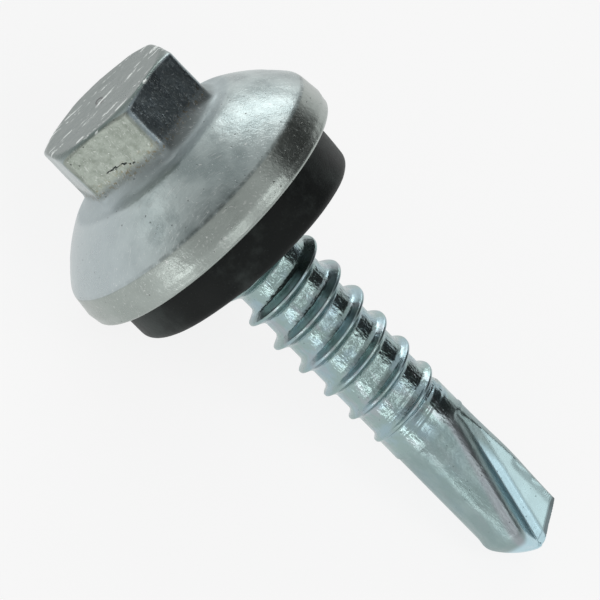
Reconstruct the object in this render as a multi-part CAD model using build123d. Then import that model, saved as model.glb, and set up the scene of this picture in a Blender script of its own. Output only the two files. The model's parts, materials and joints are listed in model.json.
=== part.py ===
"""Self-drilling screw for sheet metal: a cast zinc alloy head over a steel shank, with a rubber seal.

The screw is built on its own axis first. There z = 0 is the lower lip of the head's flange, +z runs down
the shank to the drill point, heights above the lip are negative, and directions round the axis are degrees
from +x towards +y. At the end all pieces are turned together, so that the screw lies on the ground (z = 0)
as it comes to rest: on the lip of its flange and on both edges of one flute, with its point towards +X.
Millimetres and degrees.
"""

import os
from math import acos, asin, atan2, cos, degrees, pi, radians, sin, sqrt, tan

from build123d import *

# ---- Head: one zinc alloy casting ----
HEX_ACROSS_FLATS = 7.8  # 5/16 in drive
HEX_TOP = 8.12  # above the flange's lip
HEX_CORNER_ROUND = 0.5
HEX_TOP_EDGE = 0.14
HEX_TOP_EDGE_SLOPE = 45.0
HEX_CHAMFER_INSET = 0.05  # the corner chamfer starts this far inside the flats
HEX_CHAMFER_SLOPE = 20.0
HEX_CORNER_TOWARDS = -4.5

FILLET_TOP = 5.25  # the fillet round the foot of the hexagon, above the lip
FILLET_HOLLOW = 0.2
DOME_TOP = 4.45
DOME_TOP_RADIUS = 5.2
CREASE_HEIGHT = 1.95  # where the dome turns into the skirt
CREASE_RADIUS = 7.98
SKIRT_HEIGHT = 0.7  # where the skirt is widest
SKIRT_RADIUS = 8.12
LIP_RADIUS = 8.05
LIP_BREAK = 0.25

LIP_WIDTH = 1.0  # from the outside of the lip to the recess for the seal
RECESS_DEPTH = 0.9

# ---- Seal: one rubber ring, pressed into the recess a little askew ----
SEAL_CLEARANCE = 0.23  # to the wall of the recess
SEAL_STAND_OFF = 2.71  # from the lip to its underside
SEAL_EDGE = 0.65  # its lower edge is eased by two bevels within this much of the corner
SEAL_COCK = 2.9
SEAL_COCK_TOWARDS = -127.0  # the side on which it hangs lowest
SEAL_PIVOT = 0.9  # it is askew about a point this far below the lip

# ---- Steel screw ----
SCREW_LENGTH = 25.1  # from the lip to the tip
KEY_ACROSS_FLATS = 5.2  # hexagonal head of the steel, which the zinc is cast round
KEY_CORNER_ROUND = 0.3
KEY_HEIGHT = 2.6
KEY_COVER = 1.7  # zinc above it
ROOT_RADIUS = 2.06

THREAD_PITCH = 1.814  # 14 threads to the inch
THREAD_RADIUS = 2.72
THREAD_CREST_WIDTH = 0.34
THREAD_FOOT_WIDTH = 0.86
THREAD_SINK = 0.3  # how deep the ridge is rooted in the shank
THREAD_PHASE_HEIGHT = 4.75  # the crest crosses the direction below at this height
THREAD_PHASE_TOWARDS = -88.6
THREAD_START = 2.95
THREAD_RISE = 0.75
THREAD_TAPER_FROM = 6.5
THREAD_FADE = 0.9
THREAD_END = 15.2
THREAD_END_RADIUS = 2.33
THREAD_STATIONS_PER_TURN = 4

DRILL_RADIUS = 2.17
DRILL_START = 14.5
DRILL_STEP = 0.25  # length of the cone from the thread's root up to the drill's body
POINT_ANGLE = 118.0
SHOULDER_ROUND = 1.3  # rounds the point's corner everywhere but at the cutting edges
EDGE_WALL = 0.42  # sharp-cornered metal behind each cutting edge
EDGE_WALL_SLOPE = 25.0
EDGE_BEVEL = 0.37
EDGE_BEVEL_SLOPE = 45.0
WEB_HALF = 0.38  # cutting face to middle plane
FLUTE_FLOOR_OFFSET = 0.05  # floor's low edge, past the axis towards the cutting face
FLUTE_FLOOR_WIDTH = 0.52
FLUTE_FLOOR_RISE = 0.2
FLUTE_WALL_SLOPE = 22.8
FLUTE_CORNER_ROUND = 0.12
FLUTE_RUN_OUT = 0.087  # the floor climbs outwards by this much for each mm away from the point
FLUTE_DRIFT = 0.21  # and towards the cutting face by this much
FLUTE_GAUGE_HEIGHT = 0.8  # the web and the floor are measured this far from the tip
FLUTE_LENGTH = 11.0
FLUTES = 2
RESTING_FLUTE = 1  # the flute that faces down, counted from 0

SPARE = 2.0  # how far a cutting solid reaches past the metal

# ---- Sizes that follow ----
HALF_POINT = radians(POINT_ANGLE / 2)
CORNER_Z = SCREW_LENGTH - DRILL_RADIUS / tan(HALF_POINT)
SHOULDER_BEND = pi / 2 - HALF_POINT
SHOULDER_Z = CORNER_Z - SHOULDER_ROUND * tan(SHOULDER_BEND / 2)
DRILL_BODY_Z = DRILL_START + DRILL_STEP
GAUGE_Z = SCREW_LENGTH - FLUTE_GAUGE_HEIGHT
KEY_TOP_Z = KEY_COVER - HEX_TOP
RECESS_RADIUS = LIP_RADIUS - LIP_WIDTH
SEAL_RADIUS = RECESS_RADIUS - SEAL_CLEARANCE


def at(radius: float, height: float) -> Vector:
    """A point of an outline, in the half plane that holds the screw's axis."""
    return Vector(radius, 0, height)


def bowed(start: Vector, end: Vector, bow: float) -> Edge:
    """An arc that leaves the straight line by bow, to the right of the way from start to end."""
    along = (end - start).normalized()
    aside = Vector(-along.Z, 0, along.X) * -bow
    return ThreePointArc(start, (start + end) / 2 + aside, end)


def domed(start: Vector, end: Vector) -> Edge:
    """An arc from start to end about a centre on the screw's axis, so that it turns into part of a sphere."""
    centre_z = (end.dot(end) - start.dot(start)) / (2 * (end.Z - start.Z))
    centre = at(0, centre_z)
    halfway = ((start + end) / 2 - centre).normalized() * (start - centre).length
    return ThreePointArc(start, centre + halfway, end)


def rounded(outline: Sketch, corner: Vector, radius: float) -> Sketch:
    """The outline with the corner nearest to a point rounded off."""
    return fillet(outline.vertices().sort_by_distance(corner)[0], radius)


def turned(outline: Sketch) -> Part:
    """The solid that an outline sweeps round the screw's axis."""
    return revolve(outline, Axis.Z)


def hexagon(across_flats: float, corner_round: float) -> Sketch:
    """A hexagon with a corner towards HEX_CORNER_TOWARDS."""
    outline = RegularPolygon(across_flats / 2, 6, major_radius=False)
    outline = fillet(outline.vertices(), corner_round)
    return Rot(0, 0, HEX_CORNER_TOWARDS) * outline


def drive_hexagon() -> Part:
    """The hexagon that the socket turns: cast corners, softened top edges and a chamfer on the corners."""
    flats = HEX_ACROSS_FLATS / 2
    outline = hexagon(HEX_ACROSS_FLATS, HEX_CORNER_ROUND)
    rim_z = HEX_TOP_EDGE - HEX_TOP
    bar = extrude(Pos(0, 0, rim_z) * outline, -rim_z - CREASE_HEIGHT)
    bar = bar + extrude(Pos(0, 0, rim_z) * outline, -HEX_TOP_EDGE, taper=HEX_TOP_EDGE_SLOPE)
    chamfer_start = flats - HEX_CHAMFER_INSET
    reach = flats * 2
    chamfer_drop = (reach - chamfer_start) * tan(radians(HEX_CHAMFER_SLOPE))
    crown = Polyline(
        at(0, -HEX_TOP),
        at(chamfer_start, -HEX_TOP),
        at(reach, chamfer_drop - HEX_TOP),
        at(reach, 0),
        at(0, 0),
        close=True,
    )
    return bar & turned(make_face(crown))


def flange() -> Part:
    """The spherical dome, its skirt and lip, and the recess for the seal, solid up to the axis."""
    foot = at(HEX_ACROSS_FLATS / 2, -FILLET_TOP)
    brow = at(DOME_TOP_RADIUS, -DOME_TOP)
    crease = at(CREASE_RADIUS, -CREASE_HEIGHT)
    widest = at(SKIRT_RADIUS, -SKIRT_HEIGHT)
    sides = Polyline(
        crease,
        widest,
        at(LIP_RADIUS, -LIP_BREAK),
        at(LIP_RADIUS - LIP_BREAK, 0),
        at(RECESS_RADIUS, 0),
        at(RECESS_RADIUS, -RECESS_DEPTH),
        at(0, -RECESS_DEPTH),
        at(0, -FILLET_TOP),
        foot,
    )
    return turned(make_face([bowed(foot, brow, -FILLET_HOLLOW), domed(brow, crease), *sides.edges()]))


def eased(share: float) -> float:
    """A smooth step from 0 to 1, held level before and after."""
    share = min(max(share, 0.0), 1.0)
    return share * share * (3 - 2 * share)


def crest_radius(height: float) -> float:
    """How far out the thread's crest stands at a height: it rises, tapers slowly and dies out."""
    sunk = ROOT_RADIUS - THREAD_SINK / 2
    taper = max(0.0, (height - THREAD_TAPER_FROM) / (THREAD_END - THREAD_TAPER_FROM))
    full = THREAD_RADIUS - (THREAD_RADIUS - THREAD_END_RADIUS) * taper
    rise = eased((height - THREAD_START) / THREAD_RISE)
    fall = eased((THREAD_END - height) / THREAD_FADE)
    return sunk + (full - sunk) * min(rise, fall)


def thread_section(crest: float) -> Sketch:
    """The thread's section, with its foot sunk in the shank."""
    foot = ROOT_RADIUS - THREAD_SINK
    half_crest = THREAD_CREST_WIDTH / 2
    flank = (THREAD_FOOT_WIDTH / 2 - half_crest) / (THREAD_RADIUS - ROOT_RADIUS)
    half_foot = THREAD_FOOT_WIDTH / 2 + flank * THREAD_SINK
    return make_face(
        Polyline(
            at(foot, -half_foot),
            at(crest, -half_crest),
            at(crest, half_crest),
            at(foot, half_foot),
            close=True,
        )
    )


def thread_ridge() -> Part:
    """The raised right-hand thread, one ridge swept along its helix."""
    length = THREAD_END - THREAD_START
    path = Helix(THREAD_PITCH, length, ROOT_RADIUS)
    steps = round(THREAD_STATIONS_PER_TURN * length / THREAD_PITCH)
    stations = [length * step / steps for step in range(steps + 1)]
    sections = []
    for along in stations:
        section = thread_section(crest_radius(THREAD_START + along))
        sections.append(Pos(0, 0, along) * Rot(0, 0, 360 * along / THREAD_PITCH) * section)
    ridge = sweep(sections, path=path, multisection=True, is_frenet=True)
    start_towards = THREAD_PHASE_TOWARDS - 360 * (THREAD_PHASE_HEIGHT - THREAD_START) / THREAD_PITCH
    return Pos(0, 0, THREAD_START) * Rot(0, 0, start_towards) * ridge


def shank() -> Part:
    """The round shank, from the steel's own head to the drill."""
    neck_z = KEY_TOP_Z + KEY_HEIGHT
    outline = Polyline(
        at(0, neck_z),
        at(ROOT_RADIUS, neck_z),
        at(ROOT_RADIUS, DRILL_START),
        at(DRILL_RADIUS, DRILL_BODY_Z),
        at(0, DRILL_BODY_Z),
        close=True,
    )
    return turned(make_face(outline))


def point_blank() -> Part:
    """The drill's body with its sharp cone, before the shoulders are rounded and the flutes cut."""
    outline = Polyline(
        at(0, DRILL_BODY_Z),
        at(DRILL_RADIUS, DRILL_BODY_Z),
        at(DRILL_RADIUS, CORNER_Z),
        at(0, SCREW_LENGTH),
        close=True,
    )
    return turned(make_face(outline))


def shoulder_envelope() -> Part:
    """Everything inside the rounded shoulder of the point, and clear of its cylinder and cone elsewhere."""
    reach = DRILL_RADIUS + SPARE
    run = SHOULDER_ROUND * tan(SHOULDER_BEND / 2)
    start = at(DRILL_RADIUS, CORNER_Z - run)
    end = at(DRILL_RADIUS - run * sin(HALF_POINT), CORNER_Z + run * cos(HALF_POINT))
    bow = SHOULDER_ROUND * (1 - cos(SHOULDER_BEND / 2))
    tip_z = SCREW_LENGTH + SPARE
    sides = Polyline(end, at(end.X, tip_z), at(0, tip_z), at(0, 0), at(reach, 0), at(reach, start.Z), start)
    return turned(make_face([bowed(start, end, bow), *sides.edges()]))


def edge_wall() -> Part:
    """The wedge behind one cutting face in which the point keeps its sharp corner."""
    reach = DRILL_RADIUS + SPARE
    back = WEB_HALF - EDGE_WALL
    low = SHOULDER_Z - SPARE
    high = SCREW_LENGTH + SPARE
    slope = tan(radians(EDGE_WALL_SLOPE))
    wedge = Polyline(
        at(reach, high),
        at(back - (CORNER_Z - high) * slope, high),
        at(back - (CORNER_Z - low) * slope, low),
        at(reach, low),
        close=True,
    )
    return extrude(make_face(wedge), reach, dir=(0, -1, 0))


def flute() -> Part:
    """The cutter for one flute: cutting face, narrow floor and back wall, drawn out along the drill."""
    reach = DRILL_RADIUS + SPARE
    wall = radians(FLUTE_WALL_SLOPE)
    face_foot = Vector(WEB_HALF, -FLUTE_FLOOR_OFFSET - FLUTE_FLOOR_WIDTH)
    wall_foot = Vector(WEB_HALF + FLUTE_FLOOR_RISE, -FLUTE_FLOOR_OFFSET)
    wall_head = wall_foot + Vector(cos(wall), sin(wall)) * reach
    outline = Polyline(
        face_foot,
        Vector(WEB_HALF, -reach),
        Vector(wall_head.X, -reach),
        wall_head,
        wall_foot,
        close=True,
    )
    section = make_face(outline)
    section = rounded(section, face_foot, FLUTE_CORNER_ROUND)
    section = rounded(section, wall_foot, FLUTE_CORNER_ROUND)
    towards_head = Vector(FLUTE_RUN_OUT, -FLUTE_DRIFT, -1)
    start = Vector(0, 0, GAUGE_Z) - towards_head * SPARE
    travel = towards_head * (FLUTE_LENGTH + SPARE)
    return Pos(start) * extrude(section, travel.length, dir=travel.normalized())


def edge_bevel() -> Part:
    """The cutter for the bevel between one cutting face and the point's cone."""
    reach = DRILL_RADIUS + SPARE
    along_edge = Vector(0, sin(HALF_POINT), cos(HALF_POINT))
    into_face = Vector(0, cos(HALF_POINT), -sin(HALF_POINT))
    slope = radians(EDGE_BEVEL_SLOPE)
    outward = Vector(cos(slope), 0, 0) - into_face * sin(slope)
    start = Vector(WEB_HALF, 0, SCREW_LENGTH) + into_face * EDGE_BEVEL
    plane = Plane(start, x_dir=along_edge, z_dir=outward)
    blade = Rectangle(2 * reach, 2 * reach)
    clip = Pos(0, -reach / 2, 0) * Box(4 * reach, reach, 4 * SCREW_LENGTH)
    return extrude(plane * blade, reach) & clip


def drill_point() -> Part:
    """The two-fluted point."""
    turns = [Rot(0, 0, 360 / FLUTES * index) for index in range(FLUTES)]
    envelope = shoulder_envelope()
    for turn in turns:
        envelope = envelope + turn * edge_wall()
    point = point_blank() & envelope
    for turn in turns:
        point = point - turn * flute()
        point = point - turn * edge_bevel()
    return point


def steel_screw() -> Part:
    """The steel blank: hexagonal head inside the casting, shank, thread and drill point."""
    key = extrude(Pos(0, 0, KEY_TOP_Z) * hexagon(KEY_ACROSS_FLATS, KEY_CORNER_ROUND), KEY_HEIGHT)
    return key + shank() + drill_point() + thread_ridge()


def cast_head(steel: Part) -> Part:
    """The casting, hollow where the steel's head and neck sit in it."""
    return drive_hexagon() + flange() - steel


def sealing_washer() -> Part:
    """The rubber ring: flat in its recess, snug on the shank, and a little askew where it shows."""
    top = -RECESS_DEPTH - SPARE
    eased_off = SEAL_EDGE * (1 - cos(pi / 4))
    outline = Polyline(
        at(0, top),
        at(SEAL_RADIUS, top),
        at(SEAL_RADIUS, SEAL_STAND_OFF - SEAL_EDGE),
        at(SEAL_RADIUS - eased_off, SEAL_STAND_OFF - eased_off),
        at(SEAL_RADIUS - SEAL_EDGE, SEAL_STAND_OFF),
        at(0, SEAL_STAND_OFF),
        close=True,
    )
    towards = radians(SEAL_COCK_TOWARDS)
    hinge = Axis((0, 0, SEAL_PIVOT), (-sin(towards), cos(towards), 0))
    disc = turned(make_face(outline)).rotate(hinge, -SEAL_COCK)
    height = 2 * SCREW_LENGTH
    above_recess = Pos(0, 0, -RECESS_DEPTH - height / 2) * Cylinder(2 * SEAL_RADIUS, height)
    bore = Cylinder(ROOT_RADIUS, height)
    return disc - above_recess - bore


def flute_edges() -> tuple[float, float, float]:
    """Directions of a flute's cutting edge and of its heel at the drill's wall, and the heel's height."""
    edge_towards = -degrees(acos(WEB_HALF / DRILL_RADIUS))
    below_gauge = GAUGE_Z - SHOULDER_Z
    foot_x = WEB_HALF + FLUTE_FLOOR_RISE + FLUTE_RUN_OUT * below_gauge
    foot_y = -FLUTE_FLOOR_OFFSET - FLUTE_DRIFT * below_gauge
    wall_x = cos(radians(FLUTE_WALL_SLOPE))
    wall_y = sin(radians(FLUTE_WALL_SLOPE))
    along = foot_x * wall_x + foot_y * wall_y
    climb = sqrt(along**2 + DRILL_RADIUS**2 - foot_x**2 - foot_y**2) - along
    heel_towards = degrees(atan2(foot_y + climb * wall_y, foot_x + climb * wall_x))
    return edge_towards, heel_towards, SHOULDER_Z


def resting_turn() -> Location:
    """Turns the screw from its own axis to how it lies, on the flange's lip and on both flute edges."""
    edge_towards, heel_towards, heel_z = flute_edges()
    half_gap = radians(heel_towards - edge_towards) / 2
    height = CORNER_Z + LIP_BREAK
    drop = atan2(LIP_RADIUS - DRILL_RADIUS * cos(half_gap), height)
    lean = asin((CORNER_Z - heel_z) * tan(drop) / (2 * DRILL_RADIUS * sin(half_gap)))
    down_towards = (edge_towards + heel_towards) / 2 + degrees(lean) + RESTING_FLUTE * 360 / FLUTES
    tilt = degrees(atan2(LIP_RADIUS - DRILL_RADIUS * cos(half_gap + lean), height))
    return Rot(0, 90 + tilt, 0) * Rot(0, 0, -down_towards)


def main() -> None:
    """Builds the three pieces, lays them down together and writes one file for each."""
    steel = steel_screw()
    pieces = {
        "cast_head": cast_head(steel),
        "sealing_washer": sealing_washer(),
        "steel_screw": steel,
    }
    turn = resting_turn()
    laid = {name: turn * piece for name, piece in pieces.items()}
    box = Compound(list(laid.values())).bounding_box()
    centre = box.center()
    down = Pos(-centre.X, -centre.Y, -box.min.Z)
    os.makedirs("parts", exist_ok=True)
    for name, piece in laid.items():
        export_step(down * piece, f"parts/{name}.step")


if __name__ == "__main__":
    main()
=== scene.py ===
"""Looks for the self-drilling screw: a cast zinc head, a rubber seal and plated steel with a drill point.

Each piece is drawn on the screw's own axis, as the solids are: z = 0 on the lip of the flange, +z down the
shank to the point, directions in degrees from +x towards +y, sizes in millimetres. RestingFrame then lays it
on the ground. Materials read the same axes, so grain and wear run along the shank and round it.
"""

import json
import logging
import math
from dataclasses import dataclass, field
from enum import Enum
from typing import Any, Callable, Optional, Sequence

import bmesh
import bpy
import numpy as np
from mathutils import Matrix, Vector

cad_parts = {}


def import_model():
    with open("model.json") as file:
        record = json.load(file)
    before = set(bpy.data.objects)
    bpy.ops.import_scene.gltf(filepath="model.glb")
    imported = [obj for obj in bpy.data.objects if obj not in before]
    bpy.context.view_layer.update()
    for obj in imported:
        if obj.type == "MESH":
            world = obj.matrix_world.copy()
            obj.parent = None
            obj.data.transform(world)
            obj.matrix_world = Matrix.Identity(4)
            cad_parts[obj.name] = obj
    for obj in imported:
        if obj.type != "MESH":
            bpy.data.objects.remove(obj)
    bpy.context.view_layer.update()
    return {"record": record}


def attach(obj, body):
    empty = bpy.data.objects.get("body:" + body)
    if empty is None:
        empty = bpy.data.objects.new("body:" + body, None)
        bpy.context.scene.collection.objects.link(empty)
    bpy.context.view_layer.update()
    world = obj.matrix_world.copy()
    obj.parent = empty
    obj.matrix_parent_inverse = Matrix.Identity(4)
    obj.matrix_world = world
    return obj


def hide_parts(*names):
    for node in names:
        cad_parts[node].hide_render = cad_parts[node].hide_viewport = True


LOG = logging.getLogger("screw")

MM = 0.001
WELD = 1e-8  # points nearer than this many metres are one
FAR = 50.0  # a distance beyond all metal
BODY = "root"

DOWN_TOWARDS = 147.046  # the direction round the axis that faces the ground

Array = np.ndarray
Row = tuple[Any, Any]  # radius and height, each one number or one for every column
Colour = tuple[float, float, float]
Place = tuple[float, float, float]
Point = tuple[float, float]
Band = tuple[float, float]


class Slot(Enum):
    """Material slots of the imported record."""

    CAST_ZINC = "cast_zinc"
    SEAL_RUBBER = "seal_rubber"
    PLATED_STEEL = "plated_steel"


# ---------------------------------------------------------------- shapes


def smooth_step(share: Array) -> Array:
    """Eases from 0 to 1 and stays level before and after."""
    share = np.clip(share, 0.0, 1.0)
    return share * share * (3 - 2 * share)


def hump(offset: Array, width: float) -> Array:
    """1 in the middle, and fading to nothing on both sides."""
    return np.exp(-((offset / width) ** 2))


def soft_min(first: Array, second: Array, blend: float) -> Array:
    """The lesser of two lengths, with the crossing rounded within blend."""
    overlap = np.maximum(blend - np.abs(first - second), 0.0) / blend
    return np.minimum(first, second) - overlap * overlap * blend / 4


def soft_max(first: Array, second: Array, blend: float) -> Array:
    """The greater of two lengths, with the crossing rounded within blend."""
    return -soft_min(-first, -second, blend)


def rounded_cut(body: Array, reach: Array, facing: Array, blend: float) -> Array:
    """Radius of a body cut by a plane, with the edge between them rounded evenly.

    Args:
        body: Distance from the axis to the body.
        reach: Distance from the axis to the plane, along each direction.
        facing: How squarely each direction meets the plane, from 0 to 1.
        blend: How far the rounding reaches.

    Returns:
        One distance for each direction.
    """
    low, high = np.zeros_like(body), np.minimum(body, reach)
    for _ in range(18):
        middle = (low + high) / 2
        inside = soft_min(body - middle, (reach - middle) * facing, blend) > 0
        low, high = np.where(inside, middle, low), np.where(inside, high, middle)
    return (low + high) / 2


def curve(start: Row, control: Row, end: Row, shares: Sequence[float]) -> list[Row]:
    """Points of a quadratic curve.

    Args:
        start: Where it starts.
        control: The corner that it rounds.
        end: Where it ends.
        shares: How far along it each point lies, from 0 to 1.

    Returns:
        One point for each share.
    """
    rows = []
    for share in shares:
        a, b, c = (1 - share) ** 2, 2 * share * (1 - share), share**2
        rows.append((a * start[0] + b * control[0] + c * end[0], a * start[1] + b * control[1] + c * end[1]))
    return rows


def ripple(points: Array, wavelength: float, seed: int, waves: int = 12) -> Array:
    """Smooth random unevenness, as a sum of plane waves.

    Args:
        points: Places to read it at, in millimetres, with x, y and z on the last axis.
        wavelength: Typical distance between two bumps.
        seed: Draws the waves.
        waves: How many waves are added up.

    Returns:
        One value for each place, mostly between -1 and 1.
    """
    rng = np.random.default_rng(seed)
    directions = rng.normal(size=(waves, 3))
    directions /= np.linalg.norm(directions, axis=1, keepdims=True)
    lengths = wavelength * rng.uniform(0.7, 1.6, waves)
    phases = rng.uniform(0, 2 * math.pi, waves)
    angles = points @ (directions * (2 * math.pi / lengths)[:, None]).T + phases
    return np.sin(angles).sum(axis=-1) / math.sqrt(waves)


def ring_points(radius: Array, height: Array, angles: Array) -> Array:
    """Points of one row round the axis."""
    return np.stack([radius * np.cos(angles), radius * np.sin(angles), height + 0 * angles], axis=-1)


def hexagon_radius(angles: Array, across_flats: float, corner_round: float, corner_towards: float) -> Array:
    """Distance from the axis to a hexagon with rounded corners.

    Args:
        angles: Directions round the axis, in radians.
        across_flats: The hexagon's width.
        corner_round: Radius of its corners.
        corner_towards: Direction of one corner, in degrees.

    Returns:
        One distance for each direction.
    """
    sector = math.radians(60)
    from_corner = (angles - math.radians(corner_towards) + sector / 2) % sector - sector / 2
    flat = across_flats / 2
    sharp = flat / np.cos(sector / 2 - np.abs(from_corner))
    centre = (flat - corner_round) / math.cos(sector / 2)
    under_root = np.maximum(corner_round**2 - (centre * np.sin(from_corner)) ** 2, 0.0)
    arc = centre * np.cos(from_corner) + np.sqrt(under_root)
    tangent = math.atan2(corner_round / 2, centre + corner_round * math.cos(sector / 2))
    return np.where(np.abs(from_corner) < tangent, arc, sharp)


@dataclass(frozen=True)
class RestingFrame:
    """The screw's own axes as it lies, in the row frame.

    Attributes:
        matrix: Turns points of the screw's axes, in metres, into the row frame.
    """

    matrix: Matrix

    @classmethod
    def from_record(cls, record: dict[str, Any], hex_top: float) -> "RestingFrame":
        """Reads the screw's axis from the mount on the hexagon's top.

        Args:
            record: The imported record.
            hex_top: Height of the hexagon above the flange's lip.

        Returns:
            The frame.
        """
        mount = next(m for m in record["mounts"] if m["name"] == "hex_drive")
        axis = -Vector(mount["axis"]).normalized()
        down = Vector((0, 0, -1))
        down = (down - axis * down.dot(axis)).normalized()
        side = axis.cross(down)
        turn = math.radians(DOWN_TOWARDS)
        x_axis = down * math.cos(turn) - side * math.sin(turn)
        y_axis = down * math.sin(turn) + side * math.cos(turn)
        matrix = Matrix((x_axis, y_axis, axis)).transposed().to_4x4()
        matrix.translation = Vector(mount["pos_m"]) + axis * hex_top * MM
        return cls(matrix)


@dataclass
class TurnedSkin:
    """A closed skin made of rows of points round the screw's axis.

    Attributes:
        name: The piece's name.
        rows: One array of points for each row, from one end of the skin's outline to the other.
        ring: True where the last row joins the first, as on a washer.
        climb: First and last row that climb as they go round, and by how many rows in one turn.
    """

    name: str
    rows: list[Array] = field(default_factory=list)
    ring: bool = False
    climb: tuple[int, int, int] = (0, 0, 0)

    def way_round(self, row: int, columns: int) -> list[int]:
        """Numbers of a row's points, and of the one that it runs on to across the seam.

        Args:
            row: The row's number.
            columns: How many columns there are.

        Returns:
            The row's points in order, and one more.
        """
        first, last, rise = self.climb
        onward = min(row + rise, last) if first <= row <= last else row
        return [*range(row * columns, (row + 1) * columns), onward * columns]

    def build(self, frame: RestingFrame, crease_angle: float) -> bpy.types.Object:
        """Makes the mesh and lays it down.

        Args:
            frame: Where the screw lies.
            crease_angle: Edges sharper than this many degrees stay sharp.

        Returns:
            The piece.
        """
        grid = np.stack(self.rows)
        count, columns = grid.shape[:2]
        faces = []
        for row in range(count if self.ring else count - 1):
            here, there = (self.way_round(number, columns) for number in (row, (row + 1) % count))
            faces += zip(here, here[1:], there[1:], there)
        mesh = bpy.data.meshes.new(self.name)
        mesh.from_pydata((grid.reshape(-1, 3) * MM).tolist(), [], faces)
        work = bmesh.new()
        work.from_mesh(mesh)
        bmesh.ops.remove_doubles(work, verts=work.verts, dist=WELD)
        bmesh.ops.dissolve_degenerate(work, edges=work.edges, dist=WELD)
        bmesh.ops.recalc_face_normals(work, faces=work.faces)
        open_edges = sum(not edge.is_manifold for edge in work.edges)
        work.to_mesh(mesh)
        work.free()
        mesh.shade_smooth()
        mesh.set_sharp_from_angle(angle=math.radians(crease_angle))
        mesh.transform(frame.matrix)
        piece = bpy.data.objects.new(self.name, mesh)
        bpy.context.scene.collection.objects.link(piece)
        triangles = sum(len(face.vertices) - 2 for face in mesh.polygons)
        LOG.info("%s: %d triangles, %d open edges", self.name, triangles, open_edges)
        return piece


@dataclass(frozen=True)
class Core:
    """Sizes that pieces share: the shank, the steel's own hexagon in the casting and the seal's recess."""

    root_radius: float = 2.06
    key_flats: float = 5.2
    key_round: float = 0.3
    key_top: float = -6.42
    key_foot: float = -3.82
    corner_towards: float = -4.5  # one corner of both hexagons
    recess_depth: float = 0.9

    def key(self, angles: Array) -> Array:
        """Distance from the axis to the steel's own head."""
        return hexagon_radius(angles, self.key_flats, self.key_round, self.corner_towards)


CORE = Core()


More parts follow.
